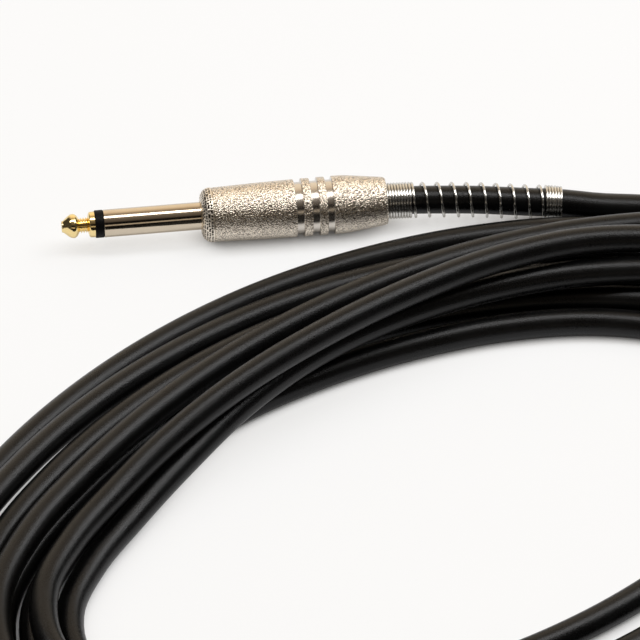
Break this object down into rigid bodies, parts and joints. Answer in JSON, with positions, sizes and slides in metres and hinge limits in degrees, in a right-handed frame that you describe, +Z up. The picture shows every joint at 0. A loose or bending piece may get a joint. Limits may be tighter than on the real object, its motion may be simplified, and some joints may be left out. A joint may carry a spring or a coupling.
{
  "type": "instrument cable",
  "caption": "Coiled black instrument cable with a straight mono plug on each end: gold tip, satin nickel barrel, spring strain relief.",
  "frame": {"origin": "on the floor, below the middle of the box round the two plugs", "axes": "+X along plug a, from its tip towards its cord; +Z up from the floor that the cable lies on; +Y from plug b's side towards plug a"},
  "size_m": [0.2464, 0.223, 0.0209],
  "materials": {
    "gold_contact": "polished gold plate on turned brass",
    "polished_nickel": "polished nickel plate on a turned brass tube",
    "satin_nickel": "fine blasted satin nickel with polished grooves",
    "spring_wire": "bright nickel-plated spring steel wire",
    "tinned_sheet": "tinned sheet metal",
    "solder": "set solder",
    "bare_copper": "bare copper strands",
    "black_insulator": "black moulded plastic",
    "core_plastic": "natural white polyethylene",
    "cord_jacket": "satin black flexible jacket, very fine grain"
  },
  "bodies": {
    "root": {"tip_a": "gold_contact", "tip_insulator_a": "black_insulator", "sleeve_a": "polished_nickel", "collar_a": "satin_nickel", "earth_terminal_a": "tinned_sheet", "rear_insulator_a": "black_insulator", "tip_lug_a": "tinned_sheet", "conductor_a": "bare_copper", "core_insulation_a": "core_plastic", "braid_pigtail_a": "bare_copper", "tip_solder_a": "solder", "earth_solder_a": "solder", "spring_a": "spring_wire", "lead_a": "cord_jacket", "coil": "cord_jacket", "lead_b": "cord_jacket", "tip_b": "gold_contact", "tip_insulator_b": "black_insulator", "sleeve_b": "polished_nickel", "collar_b": "satin_nickel", "earth_terminal_b": "tinned_sheet", "rear_insulator_b": "black_insulator", "tip_lug_b": "tinned_sheet", "conductor_b": "bare_copper", "core_insulation_b": "core_plastic", "braid_pigtail_b": "bare_copper", "tip_solder_b": "solder", "earth_solder_b": "solder", "spring_b": "spring_wire"},
    "liner_slide_a": {"liner_a": "black_insulator"},
    "barrel_screw_a": {"barrel_a": "satin_nickel"},
    "liner_slide_b": {"liner_b": "black_insulator"},
    "barrel_screw_b": {"barrel_b": "satin_nickel"}
  },
  "joints": [
    {"name": "barrel_travel_a", "type": "slide", "parent": "root", "child": "liner_slide_a", "axis": [1, 0, 0], "range_m": [0, 0.00376]},
    {"name": "barrel_turn_a", "type": "hinge", "parent": "liner_slide_a", "child": "barrel_screw_a", "pos_m": [-0.04072, 0.1048, 0.00671], "axis": [1, 0, 0], "range_deg": [0, 1800]},
    {"name": "barrel_travel_b", "type": "slide", "parent": "root", "child": "liner_slide_b", "axis": [0.9466, 0.3223, 0], "range_m": [0, 0.00376]},
    {"name": "barrel_turn_b", "type": "hinge", "parent": "liner_slide_b", "child": "barrel_screw_b", "pos_m": [-0.00741, -0.0994, 0.00671], "axis": [0.9466, 0.3223, 0], "range_deg": [0, 1800]}
  ],
  "couplings": [
    {"joint": "barrel_travel_a", "follows": "barrel_turn_a", "m_per_rad": 0.00011937},
    {"joint": "barrel_travel_b", "follows": "barrel_turn_b", "m_per_rad": 0.00011937}
  ]
}
